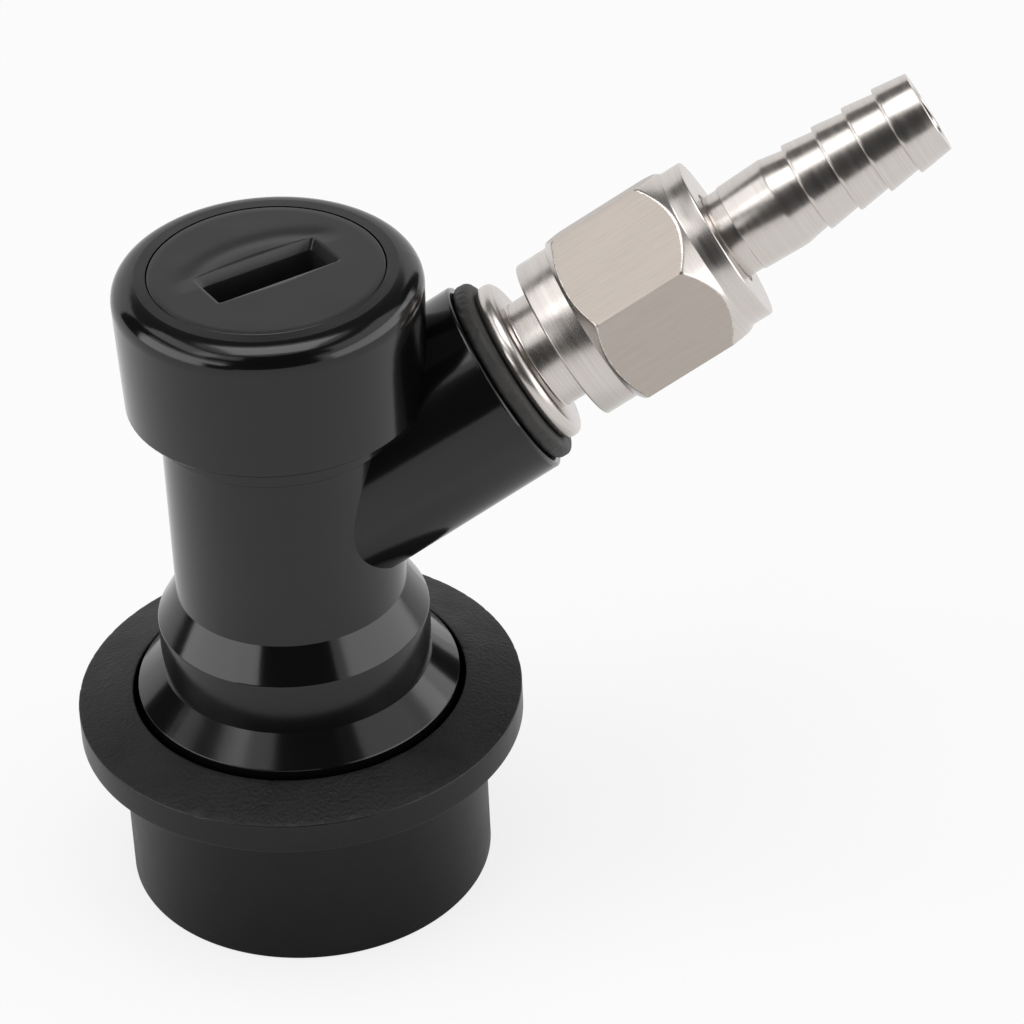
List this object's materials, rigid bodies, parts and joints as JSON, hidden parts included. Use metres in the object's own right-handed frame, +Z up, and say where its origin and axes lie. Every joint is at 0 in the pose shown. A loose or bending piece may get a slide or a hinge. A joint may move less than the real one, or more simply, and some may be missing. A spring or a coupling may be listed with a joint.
{
  "type": "ball lock disconnect",
  "caption": "Push-on connector for a keg post: sprung locking collar, slotted cap, and a side arm with a flare swivel nut and hose barb.",
  "frame": {"origin": "centre of the post socket's mouth, in the plane of the skirt's and collar's lower rim", "axes": "+Z up along the socket, towards the slotted cap; +X towards the side arm, which rises at 29 degrees"},
  "size_m": [0.0756, 0.038, 0.0691],
  "materials": {
    "moulded_black": "gloss",
    "satin_black": "satin",
    "black_rubber": "matte",
    "spring_steel": "drawn",
    "polished_steel": "polished",
    "turned_steel": "turned",
    "white_nylon": "satin"
  },
  "bodies": {
    "housing": {"body": "moulded_black", "flare_fitting": "turned_steel", "fitting_gasket": "black_rubber", "retaining_ring": "spring_steel", "collar_spring": "spring_steel", "poppet_spring": "spring_steel"},
    "collar": {"locking_collar": "satin_black"},
    "plunger": {"poppet_stem": "satin_black", "poppet_seal": "black_rubber"},
    "cap_seal": {"cap_gasket": "black_rubber"},
    "cap": {"cap_plug": "satin_black"},
    "tail_seal": {"flare_washer": "white_nylon"},
    "tail": {"hose_barb": "turned_steel"},
    "nut": {"swivel_nut": "turned_steel"},
    "ball_1": {"locking_ball_1": "polished_steel"},
    "ball_2": {"locking_ball_2": "polished_steel"},
    "ball_3": {"locking_ball_3": "polished_steel"},
    "ball_4": {"locking_ball_4": "polished_steel"}
  },
  "joints": [
    {"name": "collar_lift", "type": "slide", "parent": "housing", "child": "collar", "axis": [0, 0, 1], "range_m": [0, 0.004], "stiffness_N_per_m": 125, "springref_m": -0.01, "deforming": ["collar_spring"]},
    {"name": "ball_1_out", "type": "slide", "parent": "housing", "child": "ball_1", "axis": [0.7071, 0.7071, 0], "range_m": [0, 0.0011]},
    {"name": "ball_2_out", "type": "slide", "parent": "housing", "child": "ball_2", "axis": [-0.7071, 0.7071, 0], "range_m": [0, 0.0011]},
    {"name": "ball_3_out", "type": "slide", "parent": "housing", "child": "ball_3", "axis": [-0.7071, -0.7071, 0], "range_m": [0, 0.0011]},
    {"name": "ball_4_out", "type": "slide", "parent": "housing", "child": "ball_4", "axis": [0.7071, -0.7071, 0], "range_m": [0, 0.0011]},
    {"name": "plunger_lift", "type": "slide", "parent": "housing", "child": "plunger", "axis": [0, 0, 1], "range_m": [0, 0.0035], "stiffness_N_per_m": 300, "springref_m": -0.01, "deforming": ["poppet_spring"]},
    {"name": "cap_rise", "type": "slide", "parent": "housing", "child": "cap_seal", "axis": [0, 0, 1], "range_m": [0, 0.00451]},
    {"name": "cap_turn", "type": "hinge", "parent": "cap_seal", "child": "cap", "pos_m": [0, 0, 0.0565], "axis": [0, 0, 1], "range_deg": [0, 1080]},
    {"name": "nut_travel", "type": "slide", "parent": "housing", "child": "tail_seal", "axis": [0.8746, 0, 0.4848], "range_m": [0, 0.0089]},
    {"name": "nut_turn", "type": "hinge", "parent": "tail_seal", "child": "nut", "pos_m": [0.03061, 0, 0.05247], "axis": [0.8746, 0, 0.4848], "range_deg": [0, 2520]},
    {"name": "tail_swivel", "type": "hinge", "parent": "tail_seal", "child": "tail", "pos_m": [0.03673, 0, 0.05586], "axis": [0.8746, 0, 0.4848], "continuous": true}
  ],
  "couplings": [
    {"joint": "ball_1_out", "follows": "collar_lift", "ratio": 0.275},
    {"joint": "ball_2_out", "follows": "collar_lift", "ratio": 0.275},
    {"joint": "ball_3_out", "follows": "collar_lift", "ratio": 0.275},
    {"joint": "ball_4_out", "follows": "collar_lift", "ratio": 0.275},
    {"joint": "cap_rise", "follows": "cap_turn", "m_per_rad": 0.00023873},
    {"joint": "nut_travel", "follows": "nut_turn", "m_per_rad": 0.00020213}
  ]
}
